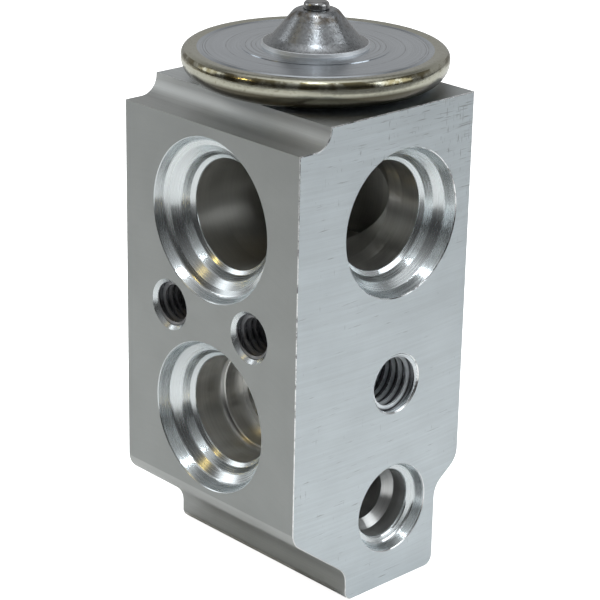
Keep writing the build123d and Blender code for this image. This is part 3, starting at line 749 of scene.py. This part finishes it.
def countersink(piece, s):
    # A cone that opens upwards takes the ridge's start away
    tip = s["major"] + s["chamfer"]
    rise = 2 * s["pitch"]
    size = (tip + rise) * mm
    bpy.ops.mesh.primitive_cone_add(vertices=64, radius1=0, radius2=size, depth=size,
                                    location=(0, 0, (rise - tip) / 2 * mm))
    sink = bpy.context.object
    cut = piece.modifiers.new("countersink", "BOOLEAN")
    cut.operation = "DIFFERENCE"
    cut.object = sink
    applyModifiers(piece)
    bpy.data.objects.remove(sink)


def makeThread(name, mouth, s):
    # The profile is wound down about Z, countersunk at the mouth and turned into the hole
    piece = makeProfile(name, s)
    wind(piece, -s["pitch"] * mm, int(s["depth"] / s["pitch"]), ridge["steps"])
    closeEnds(piece, sides=4)
    countersink(piece, s)
    piece.rotation_euler = [math.radians(degrees) for degrees in s["turnTo"]]
    piece.location = Vector(mouth) * mm
    applyPlace(piece)
    smoothOver(piece)
    dress(piece, makeThreadMaterial(name, mouth, s))
    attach(piece, "valve_block")


for name, s in threads.items():
    makeThread(name, s["mouth"], s["cut"])
print("threads cut")


# Closing spring in two halves, wound and ground level at both ends

spring = {
    "wire": 0.4, "mean": 2.8, "turns": 6, "low": 4.62, "high": 11.8, "sides": 12, "rings": 32,
    "mergeWithin": 0.002,
}


def mergeDoubles(piece, within):
    pick(piece)
    bpy.ops.object.mode_set(mode="EDIT")
    bpy.ops.mesh.select_all(action="SELECT")
    bpy.ops.mesh.remove_doubles(threshold=within)
    bpy.ops.mesh.normals_make_consistent(inside=False)
    bpy.ops.object.mode_set(mode="OBJECT")


def grindEnds(piece, low, high, sides):
    # Cut level at both ends, as a spring is ground
    pick(piece)
    bpy.ops.object.mode_set(mode="EDIT")
    for level, keepAbove in ((low, True), (high, False)):
        bpy.ops.mesh.select_all(action="SELECT")
        bpy.ops.mesh.bisect(plane_co=(0, 0, level), plane_no=(0, 0, 1), use_fill=True,
                            clear_inner=keepAbove, clear_outer=not keepAbove)
    bpy.ops.mesh.select_all(action="SELECT")
    bpy.ops.mesh.fill_holes(sides=sides)
    bpy.ops.mesh.normals_make_consistent(inside=False)
    bpy.ops.object.mode_set(mode="OBJECT")


def makeSpringHalf(name, s, upper):
    low, high = s["low"] * mm, s["high"] * mm
    middle = (low + high) / 2
    bpy.ops.mesh.primitive_circle_add(vertices=s["sides"], radius=s["wire"] * mm,
                                      location=(s["mean"] * mm, 0, middle if upper else low),
                                      rotation=(math.pi / 2, 0, 0))
    piece = bpy.context.object
    piece.name = name
    applyPlace(piece)
    wind(piece, (high - low) / s["turns"], s["turns"] // 2, s["rings"])
    mergeDoubles(piece, s["mergeWithin"] * mm)
    grindEnds(piece, low, high, sides=2 * s["sides"])
    smoothOver(piece)
    dress(piece, finishes["springSteel"]["material"])
    if upper:
        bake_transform(piece)
    else:
        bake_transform(piece)
    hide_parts("closing_spring")


makeSpringHalf("closing_spring_lower", spring, upper=False)
makeSpringHalf("closing_spring_upper", spring, upper=True)
print("spring wound")


# Floor, sky and lamps, in metres

floorSettings = {
    "size": 6.0, "roughness": 0.9, "lift": 0.88, "paperEdge": (0.125, -0.195),
    "paleColour": (0.795, 0.80, 0.795, 1), "farColour": (0.12, 0.12, 0.12, 1),
}

sky = {   # Brightness from straight down to straight up, behind the valve and before it
    "backdrop": [(0.0, 0.30), (0.5, 0.34), (0.62, 0.42), (0.74, 0.40), (0.86, 0.16), (0.985, 1.0)],
    "room": [(0.0, 0.10), (0.5, 0.05), (0.62, 0.04), (0.80, 0.16), (0.93, 0.42), (0.985, 1.0)],
    "backdropTurn": 46.3, "backdropEdge": (-0.1, 0.35),
}

lampAim = (0, 0, 0.035)
lamps = {
    "overhead": {"place": (0.05, 0.05, 0.75), "size": (0.55, 0.55), "power": 3.2, "colour": (1, 1, 1)},
    "right": {"place": (0.55, 0.30, 0.35), "size": (0.35, 0.5), "power": 1.55, "colour": (0.95, 0.98, 1)},
    "left": {"place": (-0.55, -0.35, 0.30), "size": (0.25, 0.4), "power": 0.5, "colour": (0.95, 0.98, 1)},
    "crown": {"place": (0.1, -0.095, 0.62), "size": (0.09, 0.09), "power": 0.5, "colour": (0.9, 0.95, 1)},
    "key": {"place": (0.2, -0.21, 0.6), "size": (0.13, 0.13), "power": 0.045, "colour": (0.88, 0.95, 1)},
    "warm": {"place": (-0.2, -0.5, 0.41), "size": (0.055, 0.055), "power": 0.15, "colour": (1, 0.74, 0.24)},
}


def makeFloor(s):
    # Pale where it is seen and near the valve, dark further off, where only the metal reflects it
    bpy.ops.mesh.primitive_plane_add(size=s["size"], location=(0, 0, 0))
    floor = bpy.context.object
    floor.name = "floor"
    material, tree, shader = makeMaterial("paleFloor")
    x, y = splitAxes(tree, put(tree, "TexCoord", out="Object"))[:2]
    paper = allOf(tree, below(tree, x, s["paperEdge"][0]), above(tree, y, s["paperEdge"][1]))
    seen = put(tree, "LightPath", out="Is Camera Ray")
    colour = blendColours(tree, anyOf(tree, seen, paper), s["farColour"], s["paleColour"])
    tree.links.new(colour, shader.inputs["Base Color"])
    tree.links.new(sums(tree, "MULTIPLY", seen, s["lift"]), shader.inputs["Emission Strength"])
    shader.inputs["Emission Color"].default_value = (1, 1, 1, 1)
    shader.inputs["Roughness"].default_value = s["roughness"]
    dress(floor, material)


def skyRamp(tree, rise, steps):
    ramp = tree.nodes.new("ShaderNodeValToRGB")
    points = ramp.color_ramp.elements
    while len(points) < len(steps):
        points.new(0.5)
    for point, (position, level) in zip(points, steps):
        point.position = position
        point.color = (level, level, level, 1)
    tree.links.new(rise, ramp.inputs[0])
    return ramp.outputs[0]


def makeSky(s):
    world = bpy.data.worlds.new("studioAir")
    world.use_nodes = True
    scene.world = world
    tree = world.node_tree
    direction = put(tree, "TexCoord", out="Generated")
    rise = remap(tree, splitAxes(tree, direction)[2], (-1.0, 1.0))
    turn = math.radians(s["backdropTurn"])
    straightBack = (-math.sin(turn), math.cos(turn), 0)
    backwards = vectors(tree, "DOT_PRODUCT", direction, straightBack, out="Value")
    behind = remap(tree, backwards, s["backdropEdge"])
    room, backdrop = [skyRamp(tree, rise, s[side]) for side in ("room", "backdrop")]
    levels = blendColours(tree, behind, room, backdrop)
    seen = put(tree, "LightPath", out="Is Camera Ray")
    colour = blendColours(tree, seen, levels, (1, 1, 1, 1))
    tree.links.new(colour, tree.nodes["Background"].inputs["Color"])


def makeLamp(name, s):
    bpy.ops.object.light_add(type="AREA", location=s["place"])
    lamp = bpy.context.object
    lamp.name = "light_" + name
    lamp.data.shape = "RECTANGLE"
    lamp.data.size, lamp.data.size_y = s["size"]
    lamp.data.energy = s["power"]
    lamp.data.color = s["colour"]
    lamp.rotation_euler = (Vector(s["place"]) - Vector(lampAim)).to_track_quat("Z", "Y").to_euler()
    lamp.visible_camera = False
    lamp.visible_glossy = name != "overhead"   # The sky stands in for it in reflections


makeFloor(floorSettings)
makeSky(sky)
for name, s in lamps.items():
    makeLamp(name, s)
scene.view_settings.view_transform = "Standard"

camera = {   # Lengths in millimetres, angles in degrees
    "lens": 130.87, "film": 36, "nearest": 10, "azimuth": 46.347, "elevation": 21.008, "roll": 1.139,
    "axisHeight": 30.625, "right": -1.27, "up": 5.14, "distance": 296.41,
}


def makeCamera(s):
    turn, lift, roll = [math.radians(s[angle]) for angle in ("azimuth", "elevation", "roll")]
    back = Vector((math.sin(turn) * math.cos(lift), -math.cos(turn) * math.cos(lift), math.sin(lift)))
    level = Vector((math.cos(turn), math.sin(turn), 0))
    upright = back.cross(level)
    right = level * math.cos(roll) + upright * math.sin(roll)
    up = upright * math.cos(roll) - level * math.sin(roll)
    place = Vector((0, 0, s["axisHeight"])) + right * s["right"] + up * s["up"] + back * s["distance"]
    bpy.ops.object.camera_add()
    viewer = bpy.context.object
    viewer.name = "camera"
    viewer.data.lens = s["lens"]
    viewer.data.sensor_width = s["film"]
    viewer.data.clip_start = s["nearest"] * mm
    viewer.matrix_world = Matrix.LocRotScale(place * mm, Matrix((right, up, back)).transposed(), None)
    scene.camera = viewer


makeCamera(camera)
print("stage set")
